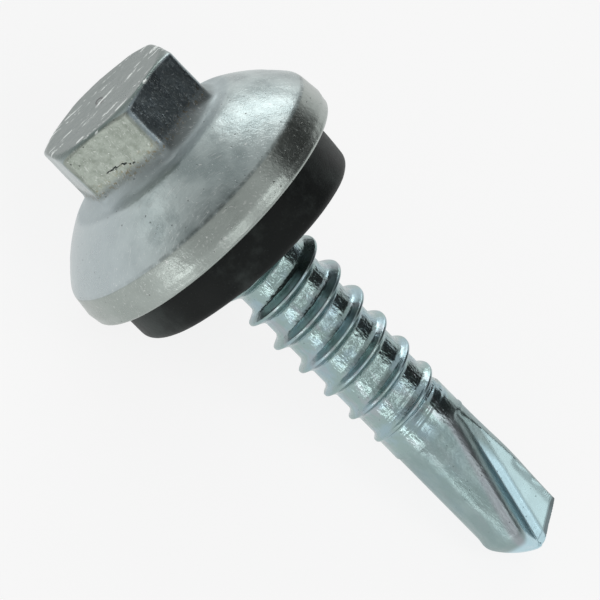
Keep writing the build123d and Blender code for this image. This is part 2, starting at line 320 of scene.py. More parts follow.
@dataclass
class CastHead:
    """The casting: hexagon, domed flange with its lip, and the hollow that holds the steel."""

    across_flats: float = 7.8
    hex_top: float = 8.12
    corner_round: float = 0.5
    top_edge: float = 0.2
    chamfer_radius: float = 3.85
    chamfer_slope: float = 20.0
    chamfer_blend: float = 0.05
    foot: Point = (3.9, -5.25)
    foot_hollow: float = 0.2
    foot_fillet: float = 0.35
    brow: Point = (5.2, -4.45)
    brow_round: float = 0.3
    crease: Point = (7.98, -1.95)
    crease_round: float = 0.2
    crown: float = 0.2
    widest: Point = (8.12, -0.7)
    lip_radius: float = 8.05
    lip_round: float = 0.28
    lip_inside: float = 7.4
    recess_radius: float = 7.05
    landing_share: float = 0.3
    cove_steps: int = 400
    unevenness: float = 0.012
    coarse_ripple: float = 3.2
    fine_ripple: float = 1.3
    fine_share: float = 0.45
    even_within: float = 1.5
    columns_per_side: int = 48
    column_evenness: float = 0.35

    def angles(self) -> Array:
        """Directions of the columns, closest together at the hexagon's corners.

        Returns:
            Directions round the axis, in radians.
        """
        share = np.linspace(-1, 1, self.columns_per_side, endpoint=False)
        even = self.column_evenness
        sector = np.radians(30) * (even * share + (1 - even) * share**3)
        corners = np.radians(CORE.corner_towards + 60.0 * np.arange(6))
        return (corners[:, None] + sector[None, :]).ravel()

    def top_height(self, radius: Array) -> Array:
        """Height of the hexagon's top, which falls away beyond the chamfer's start."""
        slope = math.tan(math.radians(self.chamfer_slope))
        return -self.hex_top + slope * soft_max(radius - self.chamfer_radius, 0 * radius, self.chamfer_blend)

    def cove_height(self, radius: Array) -> Array:
        """Height of the hollow curve from the hexagon's foot to the dome.

        Args:
            radius: Distance from the axis.

        Returns:
            Height along the axis.
        """
        start, end = np.array(self.foot), np.array(self.brow)
        along = (end - start) / np.linalg.norm(end - start)
        control = (start + end) / 2 + 2 * self.foot_hollow * np.array([-along[1], along[0]])
        points = curve(start, control, end, np.linspace(0, 1, self.cove_steps))
        return np.interp(radius, *zip(*points))

    def hexagon_rows(self, angles: Array) -> list[Row]:
        """Top, softened edge, sides and hollow foot of the hexagon.

        Args:
            angles: Directions round the axis, in radians.

        Returns:
            Radius and height of each row.
        """
        outside = hexagon_radius(angles, self.across_flats, self.corner_round, CORE.corner_towards)
        inside = outside - self.top_edge
        shares = (0, 0.12, 0.3, 0.5, 0.65, 0.76, 0.83, 0.88, 0.91, 0.94, 0.96, 0.98, 0.99, 1.0)
        rows = [(inside * share, self.top_height(inside * share)) for share in shares]
        edge = self.top_height(outside)
        side_start = edge + self.top_edge
        rows += curve(rows[-1], (outside, edge), (outside, side_start), (0.17, 0.34, 0.5, 0.66, 0.83, 1.0))
        meeting = self.cove_height(outside)
        side_end = meeting - self.foot_fillet
        rows += [(outside, side_start + (side_end - side_start) * s) for s in np.linspace(0, 1, 15)[1:]]
        reach = outside + self.landing_share * (self.brow[0] - outside)
        landing = (reach, self.cove_height(reach))
        rows += curve((outside, side_end), (outside, meeting), landing, (0.2, 0.4, 0.6, 0.8, 1.0))
        for share in (0.15, 0.3, 0.45, 0.6, 0.75, 0.88, 1.0):
            radius = reach + (self.brow[0] - self.brow_round - reach) * share
            rows.append((radius, self.cove_height(radius)))
        return rows

    def flange_rows(self) -> list[Row]:
        """Dome, crease, skirt and lip.

        Returns:
            Radius and height of each row.
        """
        brow, crease, widest = np.array(self.brow), np.array(self.crease), np.array(self.widest)
        length = np.linalg.norm(crease - brow)
        along = (crease - brow) / length
        outward = np.array([along[1], -along[0]])
        shares = np.linspace(self.brow_round / length, 1 - self.crease_round / length, 16)
        dome = [brow + (crease - brow) * s + outward * self.crown * 4 * s * (1 - s) for s in shares]
        before = brow[0] - self.brow_round
        rows = curve((before, self.cove_height(before)), brow, dome[0], (0.2, 0.4, 0.6, 0.8)) + dome
        below = crease + (widest - crease) / np.linalg.norm(widest - crease) * self.crease_round
        rows += curve(dome[-1], crease, below, (0.2, 0.4, 0.6, 0.8, 1.0))
        lip_top = np.array([self.lip_radius, -self.lip_round])
        for start, end, shares in ((below, widest, (0.3, 0.6, 0.8, 1.0)), (widest, lip_top, (0.4, 0.8, 1.0))):
            rows += [start + (end - start) * share for share in shares]
        lip_end = (self.lip_radius - self.lip_round, 0.0)
        return rows + curve(lip_top, (self.lip_radius, 0.0), lip_end, (0.17, 0.33, 0.5, 0.67, 0.83, 1.0))

    def hollow_rows(self, angles: Array) -> list[Row]:
        """The recess for the seal, the bore and the hollow round the steel's own head.

        Args:
            angles: Directions round the axis, in radians.

        Returns:
            Radius and height of each row.
        """
        side, bore, key = self.recess_radius, CORE.root_radius, CORE.key(angles)
        rows: list[Row] = [(self.lip_inside, 0.0), (side + 0.08, 0.0), (side + 0.02, -0.02)]
        rows += [(side, -0.08), (side, -0.5)]
        rows += [(radius, -CORE.recess_depth) for radius in (side, 5.0, 3.4, bore)]
        rows += [(bore, -2.3), (bore, CORE.key_foot), (key, CORE.key_foot)]
        return rows + [(key, CORE.key_top), (0 * key, CORE.key_top)]

    def uneven(self, points: Array, radius: Array, angles: Array) -> Array:
        """Moves points in and out by the casting's unevenness, and not at the axis.

        Args:
            points: Points in the screw's own axes.
            radius: Distance from the axis.
            angles: Directions round the axis, in radians.

        Returns:
            The moved points.
        """
        amount = ripple(points, self.coarse_ripple, seed=11)
        amount = amount + self.fine_share * ripple(points, self.fine_ripple, seed=12)
        fade = np.clip(radius / self.even_within, 0, 1) * self.unevenness
        outward = np.stack([np.cos(angles), np.sin(angles), 0 * angles - 0.5], axis=-1)
        return points + outward * (amount * fade)[:, None]

    def build(self, frame: RestingFrame) -> bpy.types.Object:
        """Makes the casting, a little uneven on the hexagon and on the flange beyond the recess.

        Args:
            frame: Where the screw lies.

        Returns:
            The piece.
        """
        angles = self.angles()
        skin = TurnedSkin("cast_head_casting")
        for radius, height in self.hexagon_rows(angles):
            skin.rows.append(self.uneven(ring_points(radius, height, angles), radius, angles))
        for radius, height in self.flange_rows() + self.hollow_rows(angles):
            points = ring_points(radius, height, angles)
            outside = np.min(radius) > self.recess_radius and height < -self.lip_round / 2
            skin.rows.append(self.uneven(points, radius, angles) if outside else points)
        return skin.build(frame, crease_angle=38)


@dataclass
class SealingRing:
    """The rubber ring: flat in its recess, snug on the shank, and a little askew where it shows."""

    radius: float = 6.82
    stand_off: float = 2.71
    edge: float = 0.65
    bore_edge: float = 0.06
    cock: float = 2.9
    cock_towards: float = -127.0
    pivot: float = 0.9
    bulge: float = 0.05
    bulge_from: float = 0.4
    unevenness: float = 0.012
    ripple_length: float = 2.6
    rows_in_recess: int = 4
    columns: int = 216

    def tilt(self, points: Array) -> Array:
        """Turns points about the hinge, so that the ring hangs lowest on one side.

        Args:
            points: Points in the screw's own axes.

        Returns:
            The turned points.
        """
        towards, angle = math.radians(self.cock_towards), math.radians(self.cock)
        out = np.array([math.cos(towards), math.sin(towards), 0.0])
        side = np.array([-math.sin(towards), math.cos(towards), 0.0])
        along_out, along_side = points @ out, points @ side
        rise = points[..., 2] - self.pivot
        moved = (along_out * math.cos(angle) - rise * math.sin(angle))[..., None] * out
        moved = moved + along_side[..., None] * side
        moved[..., 2] = self.pivot + along_out * math.sin(angle) + rise * math.cos(angle)
        return moved

    def top_level(self, radius: float, angles: Array) -> Array:
        """Height in the tilted ring at which it meets the floor of the recess.

        Args:
            radius: Distance from the axis.
            angles: Directions round the axis, in radians.

        Returns:
            One height for each direction.
        """
        towards, angle = math.radians(self.cock_towards), math.radians(self.cock)
        out = radius * np.cos(angles - towards)
        return self.pivot + (-CORE.recess_depth - self.pivot - out * math.sin(angle)) / math.cos(angle)

    def build(self, frame: RestingFrame) -> bpy.types.Object:
        """Makes the ring from its outline, going down the outside and up the bore.

        Args:
            frame: Where the screw lies.

        Returns:
            The piece.
        """
        angles = np.linspace(0, 2 * math.pi, self.columns, endpoint=False)
        top, side_end = self.top_level(self.radius, angles), self.stand_off - self.edge
        outline: list[Row] = []
        for share in np.linspace(0, 1, 16):
            bulge = self.bulge * math.sin(math.pi * share) * min(share / self.bulge_from, 1)
            outline.append((self.radius + bulge, top + (side_end - top) * share))
        corner, end = (self.radius, self.stand_off), (self.radius - self.edge, self.stand_off)
        outline += curve((self.radius, side_end), corner, end, np.linspace(0.1, 1, 10))
        outline += [(radius, self.stand_off) for radius in (5.4, 4.6, 3.8, 3.1, 2.6, 2.3, 2.14)]
        shown = range(self.rows_in_recess, len(outline))
        bore, bore_end = CORE.root_radius, self.stand_off - self.bore_edge
        inner_top = self.top_level(bore, angles)
        outline += [(bore, bore_end + (inner_top - bore_end) * share) for share in np.linspace(0, 1, 6)]
        outline += [(radius, self.top_level(radius, angles)) for radius in (3.2, 4.6, 5.9)]
        outward = ring_points(1.0, 0.0, angles)
        skin = TurnedSkin("sealing_washer_rubber", ring=True)
        for index, (radius, height) in enumerate(outline):
            points = self.tilt(ring_points(radius, height, angles))
            if radius == bore:
                points[:, :2] *= (bore / np.linalg.norm(points[:, :2], axis=1))[:, None]
            elif index in shown:
                wave = ripple(points, self.ripple_length, seed=21) * self.unevenness
                points = points + wave[:, None] * outward
            points[:, 2] = np.maximum(points[:, 2], -CORE.recess_depth)
            skin.rows.append(points)
        return skin.build(frame, crease_angle=50)


@dataclass
class Thread:
    """The rolled thread's section and its way down the shank."""

    pitch: float = 1.814
    radius: float = 2.7
    crest_width: float = 0.14
    crest_round: float = 0.05
    foot_width: float = 0.84
    foot_round: float = 0.32
    phase_height: float = 4.75
    phase_towards: float = -88.6
    start: float = 2.95
    rise: float = 0.75
    taper_from: float = 6.5
    end: float = 15.2
    fade: float = 0.9
    end_radius: float = 2.33

    def full_height(self, height: Array, root: Array) -> Array:
        """How far the crest stands above the root at each height.

        Args:
            height: Height along the axis.
            root: The shank's own radius there.

        Returns:
            One height for each place.
        """
        taper = np.clip((height - self.taper_from) / (self.end - self.taper_from), 0, 1)
        crest = self.radius - (self.radius - self.end_radius) * taper
        grow = smooth_step((height - self.start) / self.rise)
        fall = smooth_step((self.end - height) / self.fade)
        return (crest - root) * np.minimum(grow, fall)

    def off_crest(self, height: Array, angles: Array) -> Array:
        """Distance along the shank from the nearest crest, positive towards the point.

        Args:
            height: Height along the axis.
            angles: Directions round the axis, in radians.

        Returns:
            One distance for each place.
        """
        turn = (np.degrees(angles) - self.phase_towards) / 360
        along = height - self.phase_height - self.pitch * turn
        return (along + self.pitch / 2) % self.pitch - self.pitch / 2

    def ridge(self, off_crest: Array, full: Array) -> Array:
        """Height of the ridge above the root, rounded at its crest and its foot.

        Args:
            off_crest: Distance along the shank from the nearest crest.
            full: How far the crest stands above the root.

        Returns:
            One height for each place.
        """
        depth = self.radius - CORE.root_radius
        flank = (self.foot_width - self.crest_width) / 2 / depth
        slanted = (self.foot_width / 2 - np.abs(off_crest)) / flank + (full - depth)
        return soft_max(soft_min(slanted, full, self.crest_round), 0 * full, self.foot_round)


def kept(value: float) -> float:
    """The number, or the nearer of 0 and 1 where it lies beyond them."""
    return min(max(value, 0.0), 1.0)


@dataclass
class DrillPoint:
    """The two-fluted point, as distances from its axis, with the cutting edges sharp and the rest worn."""

    length: float = 25.1
    radius: float = 2.17
    point_angle: float = 118.0
    tip_radius: float = 0.25
    tip_round: float = 0.06
    edge_bow: float = 0.14
    edge_relief: float = 60.0
    relief_from: float = 0.15
    edge_bevel: float = 0.26
    edge_bevel_slope: float = 45.0
    flank_length: float = 1.97
    flank_bow: float = 0.19
    flank_spread: float = 0.5
    shoulder_blend: float = 0.13
    web_half: float = 0.38
    floor_offset: float = 0.05
    floor_width: float = 0.52
    floor_rise: float = 0.2
    wall_slope: float = 22.8
    run_out: float = 0.087
    drift: float = 0.21
    gauge: float = 0.8
    margin_from: float = 1.7
    margin_width: float = 0.42
    margin_rise: float = 0.15
    margin_start: float = 20.3
    fade: float = 0.6
    step_height: float = 15.88
    step_slant: float = -0.54
    step: float = 0.055
    step_width: float = 0.11
    dent: float = 0.8
    dent_before: float = 0.2
    dent_width: float = 0.13
    fuller: float = 0.09
    fullest_at: float = 20.1
    fuller_length: float = 1.9
    flatter: float = 0.06
    flatter_from: float = 15.0
    flatter_until: float = 23.0
    parting: float = 0.05
    parting_towards: float = 31.0
    parting_width: float = 9.0
    parting_ripple: float = 1.1
    parting_evenness: float = 0.8
    parting_change: float = 0.35
    corner_blend: float = 0.1
    heel_round: float = 0.45
    edge_blend: float = 0.04
    sharp_blend: float = 0.03
    feature_depth: float = 0.15
    relief_length: float = 0.9
    relief_turn: float = 0.12

    @property
    def half_point(self) -> float:
        """Half of the point's angle, in radians."""
        return math.radians(self.point_angle / 2)

    @property
    def corner_height(self) -> float:
        """Height at which the sharp cutting edge meets the drill's wall."""
        return self.length - self.radius / math.tan(self.half_point)

    def arc(self, foot: float, bow: float) -> tuple[float, float, float]:
        """Centre and radius of a bulging flank's profile, as radius and depth below the tip.

        Args:
            foot: Depth below the tip at which the flank ends.
            bow: How far the flank bulges.

        Returns:
            Radius and depth of the centre, and the arc's own radius.
        """
        run = self.radius - self.tip_radius
        length = math.hypot(run, foot)
        reach = length**2 / (8 * bow) + bow / 2
        centre = (self.radius + self.tip_radius) / 2 - foot / length * (reach - bow)
        return centre, foot / 2 + run / length * (reach - bow), reach

    def bulge(self, depth: Array, foot: float, bow: float) -> Array:
        """Radius of a flank that bulges between tip and wall, at a depth below the tip.

        Args:
            depth: Depth below the tip.
            foot: Depth below the tip at which the flank ends.
            bow: How far the flank bulges.

        Returns:
            Distance from the axis.
        """
        centre, centre_depth, reach = self.arc(foot, bow)
        within = np.clip(depth, 0, foot)
        radius = centre + np.sqrt(reach**2 - (within - centre_depth) ** 2)
        near = np.clip(within / self.tip_round, 0, 1)
        radius = radius - self.tip_radius * (1 - np.sqrt(near * (2 - near)))
        return np.where(depth > foot, self.radius, radius)

    def worn(self, height: Array) -> Array:
        """The point without flutes, with its shoulder worn round.

        Args:
            height: Height along the axis.

        Returns:
            Distance from the axis.
        """
        depth = self.length - height
        beyond = np.maximum(depth - self.flank_length, 0.0)
        flank = self.bulge(depth, self.flank_length, self.flank_bow) + beyond * self.flank_spread
        return soft_min(flank, self.radius + 0 * height, self.shoulder_blend)

    def edge_depth(self, offset: Array) -> Array:
        """Depth below the tip of the sharp edge, at a distance from the middle.

        Args:
            offset: Distance from the middle.

        Returns:
            Depth below the tip.
        """
        centre, centre_depth, reach = self.arc(self.length - self.corner_height, self.edge_bow)
        depth = centre_depth - np.sqrt(np.maximum(reach**2 - (offset - centre) ** 2, 0.0))
        return np.where(offset > self.radius, FAR, np.where(offset < self.tip_radius, 0.0, depth))

    def sharp(self, height: Array, angles: Array, steps: int = 64) -> Array:
        """Distance to the metal that stands up at the sharp edge and slopes down behind it.

        Args:
            height: Height of each direction.
            angles: Directions round the axis, in radians.
            steps: How many places are tried between the axis and the drill's wall.

        Returns:
            One distance for each direction, and 0 where there is no such metal.
        """
        depth = self.length - height
        full = self.bulge(depth, self.length - self.corner_height, self.edge_bow)
        reach = full[..., None] * np.linspace(0, 1, steps)
        across, aside = reach * np.cos(angles)[..., None], reach * np.abs(np.sin(angles))[..., None]
        drop = np.maximum(self.relief_from - across, 0.0) * math.tan(math.radians(self.edge_relief))
        spare = depth[..., None] - self.edge_depth(aside) - drop
        last = steps - 1 - np.argmax((spare >= 0)[..., ::-1], axis=-1)
        places = (last, np.minimum(last + 1, steps - 1))
        here, there = (np.take_along_axis(spare, place[..., None], -1)[..., 0] for place in places)
        share = np.where(there < 0, here / np.maximum(here - there, 1e-9), 0.0)
        met = (spare >= 0).any(axis=-1) & (np.sin(angles) < 0)
        return np.where(met, full * (last + np.clip(share, 0, 1)) / (steps - 1), 0.0)

    def floor_corners(self, height: Array) -> tuple[Array, Array, Array, Array]:
        """The foot of the cutting face and of the back wall, as x and y of each.

        Args:
            height: Height along the axis.

        Returns:
            x and y of the face's foot, then of the wall's.
        """
        above = self.length - self.gauge - height
        face_x = self.web_half + self.run_out * above
        wall_y = -self.floor_offset - self.drift * above
        return face_x, wall_y - self.floor_width, face_x + self.floor_rise, wall_y

    def body(self, height: Array, angles: Array) -> Array:
        """The point before the flutes are cut."""
        height = height + 0 * angles
        return soft_max(self.worn(height), self.sharp(height, angles), self.sharp_blend)

    def fluted(self, body: Array, height: Array, angles: Array) -> Array:
        """The body with one flute cut out.

        Args:
            body: Distance from the axis to the body.
            height: Height of each direction.
            angles: Directions round the axis from the flute, in radians.

        Returns:
            Distance to what stays behind the flute's face, its floor or its back wall.
        """
        face_x, face_y, wall_x, wall_y = self.floor_corners(height)
        back = (math.sin(math.radians(self.wall_slope)), -math.cos(math.radians(self.wall_slope)))
        floor_tilt = math.hypot(self.floor_rise, self.floor_width)
        floor = (self.floor_width / floor_tilt, -self.floor_rise / floor_tilt)
        planes = (
            (1.0, 0.0, face_x + self.curl(face_x, height, angles), self.edge_blend),
            (*floor, face_x * floor[0] + face_y * floor[1], self.edge_blend),
            (back[0], back[1], wall_x * back[0] + wall_y * back[1], self.heel_round),
        )
        cuts = []
        for normal_x, normal_y, distance, blend in planes:
            facing = np.maximum(np.cos(angles) * normal_x + np.sin(angles) * normal_y, 0.02)
            cuts.append(rounded_cut(body, np.minimum(distance / facing, FAR), facing, blend))
        behind_any = soft_max(soft_max(cuts[0], cuts[1], self.corner_blend), cuts[2], self.corner_blend)
        return np.minimum(behind_any, body)

    def curl(self, face_x: Array, height: Array, angles: Array) -> Array:
        """How far the outer margin of a cutting face is bent up.

        Args:
            face_x: How far the cutting face lies from the axis.
            height: Height along the axis.
            angles: Directions round the axis, in radians.

        Returns:
            One height for each direction.
        """
        sideways = face_x * np.abs(np.tan(angles))
        share = smooth_step((np.minimum(sideways, self.radius) - self.margin_from) / self.margin_width)
        fade = smooth_step((height - self.margin_start) / self.fade)
        return self.margin_rise * share * fade * (np.sin(angles) < 0)

    def bevel(self, height: Array, angles: Array) -> Array:
        """Distance at which the bevel between a cutting face and the cone begins.

        Args:
            height: Height along the axis.
            angles: Directions round the axis, in radians.

        Returns:
            One distance for each direction.
        """
        slope = math.radians(self.edge_bevel_slope)
        into = (0.0, math.cos(self.half_point), -math.sin(self.half_point))
        outward = (math.cos(slope), -into[1] * math.sin(slope), -into[2] * math.sin(slope))
        start = (self.web_half, into[1] * self.edge_bevel, self.length + into[2] * self.edge_bevel)
        distance = start[0] * outward[0] + start[1] * outward[1] - (height - start[2]) * outward[2]
        facing = np.cos(angles) * outward[0] + np.sin(angles) * outward[1]
        reach = np.where(facing > 1e-3, distance / np.maximum(facing, 1e-3), FAR)
        return np.where(np.sin(angles) < 0, np.maximum(reach, 0.0), FAR)

    def forged(self, height: Array, angles: Array) -> Array:
        """How far the body leaves a true round: fuller, flatter, and with marks of the dies.

        Args:
            height: Height along the axis.
            angles: Directions round the axis, in radians.

        Returns:
            What is added to the body's radius.
        """
        on_body = smooth_step((self.flatter_until - height) / self.fade)
        on_body = on_body * smooth_step(height - self.flatter_from)
        past_step = height - self.step_height - self.step_slant * np.sin(angles)
        dent = self.dent * hump(past_step + self.dent_before, self.dent_width)
        swell = self.fuller * hump(height - self.fullest_at, self.fuller_length)
        fuller = swell * np.maximum(-np.sin(angles), 0) ** 3
        flatter = self.flatter * on_body * np.maximum(np.sin(angles), 0) ** 3
        off_parting = (np.degrees(angles) - self.parting_towards + 180) % 360 - 180
        wobble = ripple(np.stack([0 * height, 0 * height, height], axis=-1), self.parting_ripple, seed=31)
        parting = self.parting * (self.parting_evenness + self.parting_change * wobble)
        parting = parting * hump(off_parting, self.parting_width) * on_body
        return fuller - flatter + self.step * (hump(past_step, self.step_width) - dent) + parting

    def outline(self, height: Array, angles: Array) -> Array:
        """Distance from the axis to the metal.

        Args:
            height: Height along the axis.
            angles: Directions round the axis, in radians.

        Returns:
            One distance for each direction.
        """
        radius = self.body(height, angles) + self.forged(height, angles)
        for turn in (0.0, math.pi):
            radius = self.fluted(radius, height, angles + turn)
            radius = soft_min(radius, self.bevel(height, angles + turn), self.edge_blend)
        return np.maximum(radius, 0.0)

    def feature_angles(self, height: float) -> list[tuple[float, float]]:
        """Directions of a flute's edges and corners at one height, each with its weight.

        Args:
            height: Height of the row.

        Returns:
            Direction, in radians, and weight of each.
        """
        reach = float(self.body(np.array([height]), np.array([-math.pi / 2 + 0.2]))[0])
        face_x, face_y, wall_x, wall_y = self.floor_corners(height)
        wall = math.radians(self.wall_slope)
        along = wall_x * math.cos(wall) + wall_y * math.sin(wall)
        climb = math.sqrt(max(along**2 + reach**2 - wall_x**2 - wall_y**2, 0.0)) - along
        heel = math.atan2(wall_y + climb * math.sin(wall), wall_x + climb * math.cos(wall))
        edge, step = (-math.acos(min(side / max(reach, 1e-6), 1.0)) for side in (face_x, self.relief_from))
        inside_face = kept((reach - math.hypot(face_x, face_y)) / self.feature_depth)
        inside_wall = kept((reach - math.hypot(wall_x, wall_y)) / self.feature_depth)
        return [
            (edge, inside_face),
            (math.atan2(face_y, face_x), inside_face),
            (math.atan2(wall_y, wall_x), inside_wall),
            (heel, inside_wall),
            (step - self.relief_turn, kept(1 - abs(height - self.corner_height) / self.relief_length)),
        ]


@dataclass
class SteelScrew:
    """The steel blank: head inside the casting, shank, thread and drill point, in one skin.

    Rows of the thread follow its helix: thread_rows says how far each lies from the nearest crest. Columns of
    the drill crowd round the flutes' edges.
    """

    drill_start: float = 14.5
    drill_step: float = 0.25
    thread_zone: Band = (2.6, 16.2)
    thread_rows: tuple[float, ...] = (
        0.0, 0.035, 0.06, 0.08, 0.105, 0.14, 0.18, 0.225, 0.27, 0.315,
        0.355, 0.395, 0.44, 0.49, 0.56, 0.7, 0.907,
    )
    point_length: float = 2.3
    point_end: float = 0.004
    drill_rows: int = 76
    columns: int = 240
    crowding: float = 3.2
    crowding_width: float = 0.09
    crowding_rise: float = 0.9
    fine_columns: int = 2881
    anchor: float = math.radians(45)
    thread: Thread = field(default_factory=Thread)
    drill: DrillPoint = field(default_factory=DrillPoint)

    def shank_radius(self, height: Array) -> Array:
        """The shank's own radius, without thread, as it grows to the drill's."""
        share = smooth_step((height - self.drill_start) / self.drill_step)
        return CORE.root_radius + (self.drill.radius - CORE.root_radius) * share

    def thread_grid(self, angles: Array) -> list[Array]:
        """Rows that follow the helix, cut level where the thread's zone begins and ends.

        Args:
            angles: Directions round the axis, in radians.

        Returns:
            One array of points for each row.
        """
        low, high = self.thread_zone
        thread, pitch = self.thread, self.thread.pitch
        offsets = sorted({*self.thread_rows, *(-value for value in self.thread_rows[1:-1])})
        turn = (angles - math.radians(thread.phase_towards)) / (2 * math.pi)
        first = math.floor((low - thread.phase_height) / pitch) - 2
        final = math.ceil((high - thread.phase_height) / pitch) + 2
        rows = []
        for index in range(first, final + 1):
            for offset in offsets:
                height = np.clip(thread.phase_height + pitch * (turn + index) + offset, low, high)
                root = self.shank_radius(height)
                full = thread.full_height(height, root)
                radius = root + thread.ridge(thread.off_crest(height, angles), full) * (full > 0)
                rows.append(ring_points(radius, height, angles))
        return rows

    def drill_angles(self, height: float) -> Array:
        """Directions of the columns at one height, closest together at the flutes' edges.

        Args:
            height: Height of the row.

        Returns:
            Directions round the axis, in radians.
        """
        share = float(smooth_step((height - self.thread_zone[1]) / self.crowding_rise))
        fine = np.linspace(0, 2 * math.pi, self.fine_columns)
        density = np.ones_like(fine)
        for angle, weight in self.drill.feature_angles(height):
            for turn in (0.0, math.pi):
                off = (fine - (angle + turn - self.anchor) + math.pi) % (2 * math.pi) - math.pi
                density += self.crowding * weight * share * hump(off, self.crowding_width)
        total = np.concatenate([[0.0], np.cumsum((density[1:] + density[:-1]) / 2)])
        wanted = np.arange(self.columns) / self.columns * total[-1]
        return np.interp(wanted, total, fine) + self.anchor

    def drill_heights(self) -> Array:
        """Heights of the drill's rows, closest together at the tip.

        Returns:
            Heights along the axis.
        """
        length, point = self.drill.length, self.point_length
        body = np.linspace(self.thread_zone[1], length - point, self.drill_rows)
        tip = length - point * np.cos(np.linspace(0, 0.496 * math.pi, self.drill_rows))
        return np.concatenate([body[1:], tip[1:]])

    def build(self, frame: RestingFrame) -> bpy.types.Object:
        """Makes the steel in one skin.

        Args:
            frame: Where the screw lies.

        Returns:
            The piece.
        """
        angles = self.anchor + np.linspace(0, 2 * math.pi, self.columns, endpoint=False)
        skin = TurnedSkin("steel_screw_metal")
        key, root = CORE.key(angles), CORE.root_radius
        inside = [(0.0, CORE.key_top), (key, CORE.key_top), (key, CORE.key_foot), (root, CORE.key_foot)]
        skin.rows += [ring_points(radius, height, angles) for radius, height in (*inside, (root, 0.0))]
        threaded = self.thread_grid(angles)
        first = len(skin.rows)
        skin.climb = (first, first + len(threaded) - 1, 2 * len(self.thread_rows) - 2)
        skin.rows += threaded
        for height in self.drill_heights():
            turned = self.drill_angles(float(height))
            level = height + 0 * angles
            skin.rows.append(ring_points(self.drill.outline(level, turned), level, turned))
        skin.rows.append(ring_points(0.0, self.drill.length - self.point_end, angles))
        return skin.build(frame, crease_angle=42)


# ---------------------------------------------------------------- finishes


AROUND, ON_OBJECT = 0, 3  # outputs of the Texture Coordinate node
CAMERA_RAY, GLOSSY_RAY, TRANSMISSION_RAY = 0, 3, 6  # outputs of the Light Path node
FACTOR, COLOUR_A, COLOUR_B, MIXED = 0, 6, 7, 2  # inputs and output of the Mix node for colours


def titled(inputs: dict[str, Any]) -> dict[str, Any]:
    """The same with each name as a node writes it."""
    return {name.title(): value for name, value in inputs.items()}


class Wiring:
    """Adds nodes to one node tree and joins them."""

    def __init__(self, tree: bpy.types.NodeTree) -> None:
        """Takes the tree to work in."""
        self.tree = tree

    def feed(self, socket: bpy.types.NodeSocket, value: Any) -> None:
        """Links a value, or sets the socket's own where a plain number or colour is given.

        Args:
            socket: The input to fill.
            value: What goes into it.
        """
        if isinstance(value, Value):
            self.tree.links.new(value.socket, socket)
        elif isinstance(value, tuple) and len(value) == 3 and socket.type == "RGBA":
            socket.default_value = (*value, 1.0)
        else:
            socket.default_value = value

    def add(self, kind: str, inputs: Optional[dict[Any, Any]] = None, **settings: Any) -> list["Value"]:
        """Adds a node.

        Args:
            kind: Its Blender type, without the ShaderNode in front.
            inputs: What goes into each input, by name or index.
            settings: Its own settings.

        Returns:
            What it gives.
        """
        node = self.tree.nodes.new("ShaderNode" + kind)
        for name, value in settings.items():
            setattr(node, name, value)
        for name, value in (inputs or {}).items():
            self.feed(node.inputs[name], value)
        return [Value(self, output) for output in node.outputs]

    def math(self, operation: str, *values: Any, clamp: bool = False) -> "Value":
        """What a Math node gives."""
        return self.add("Math", dict(enumerate(values)), operation=operation, use_clamp=clamp)[0]

    def paint(self, colour: Any, *coats: tuple[Any, Any]) -> "Value":
        """A colour with coats of other colours on it, each after its mask.

        Args:
            colour: The colour underneath.
            coats: Mask and colour of each coat.

        Returns:
            The colour on top.
        """
        for mask, coat in coats:
            inputs = {FACTOR: mask, COLOUR_A: colour, COLOUR_B: coat}
            colour = self.add("Mix", inputs, data_type="RGBA")[MIXED]
        return colour


@dataclass(frozen=True)
class Value:
    """A number, place or colour in a node tree. Sums join Math nodes, and | takes the greater of two."""

    wire: Wiring
    socket: bpy.types.NodeSocket

    def math(self, operation: str, *others: Any, clamp: bool = False) -> "Value":
        """What a Math node gives for this value and others."""
        return self.wire.math(operation, self, *others, clamp=clamp)

    def __add__(self, other: Any) -> "Value":
        """The sum of two."""
        return self.math("ADD", other)

    def __mul__(self, other: Any) -> "Value":
        """The product of two."""
        return self.math("MULTIPLY", other)

    __radd__, __rmul__ = __add__, __mul__

    def __sub__(self, other: Any) -> "Value":
        """This value less another."""
        return self.math("SUBTRACT", other)

    def __rsub__(self, other: Any) -> "Value":
        """Another value less this one."""
        return self.wire.math("SUBTRACT", other, self)

    def __or__(self, other: Any) -> "Value":
        """The greater of two."""
        return self.math("MAXIMUM", other)

    def window(self, low: float, high: float) -> "Value":
        """Smooth 0 to 1 between two values."""
        inputs = {0: self, 1: low, 2: high, 3: 0.0, 4: 1.0}
        return self.wire.add("MapRange", inputs, interpolation_type="SMOOTHSTEP")[0]

    def until(self, low: float, high: float) -> "Value":
        """Smooth 1 to 0 between two values."""
        return 1.0 - self.window(low, high)

    def vector(self, operation: str, *others: Any) -> "Value":
        """What a Vector Math node gives for this place and others, a number where the operation gives one."""
        outputs = self.wire.add("VectorMath", dict(enumerate((self, *others))), operation=operation)
        return outputs[operation in ("DOT_PRODUCT", "LENGTH", "DISTANCE")]

    def noise(self, scale: float, detail: float = 3.0, roughness: float = 0.55, **more: float) -> "Value":
        """Noise from 0 to 1 at this place."""
        inputs = {"Scale": scale, "Detail": detail, "Roughness": roughness, **titled(more)}
        return self.wire.add("TexNoise", {"Vector": self, **inputs})[0]

    def stretch(self, scale: Place, turn: Place = (0.0, 0.0, 0.0)) -> "Value":
        """This place turned and scaled."""
        return self.wire.add("Mapping", {"Vector": self, "Rotation": turn, "Scale": scale})[0]

    def parts(self) -> list["Value"]:
        """Its x, y and z."""
        return self.wire.add("SeparateXYZ", {0: self})

    def marked(self, group: bpy.types.NodeTree, **inputs: float) -> "Value":
        """The mask that a shared effect gives at this place."""
        return self.wire.add("Group", {"Place": self, **titled(inputs)}, node_tree=group)[0]


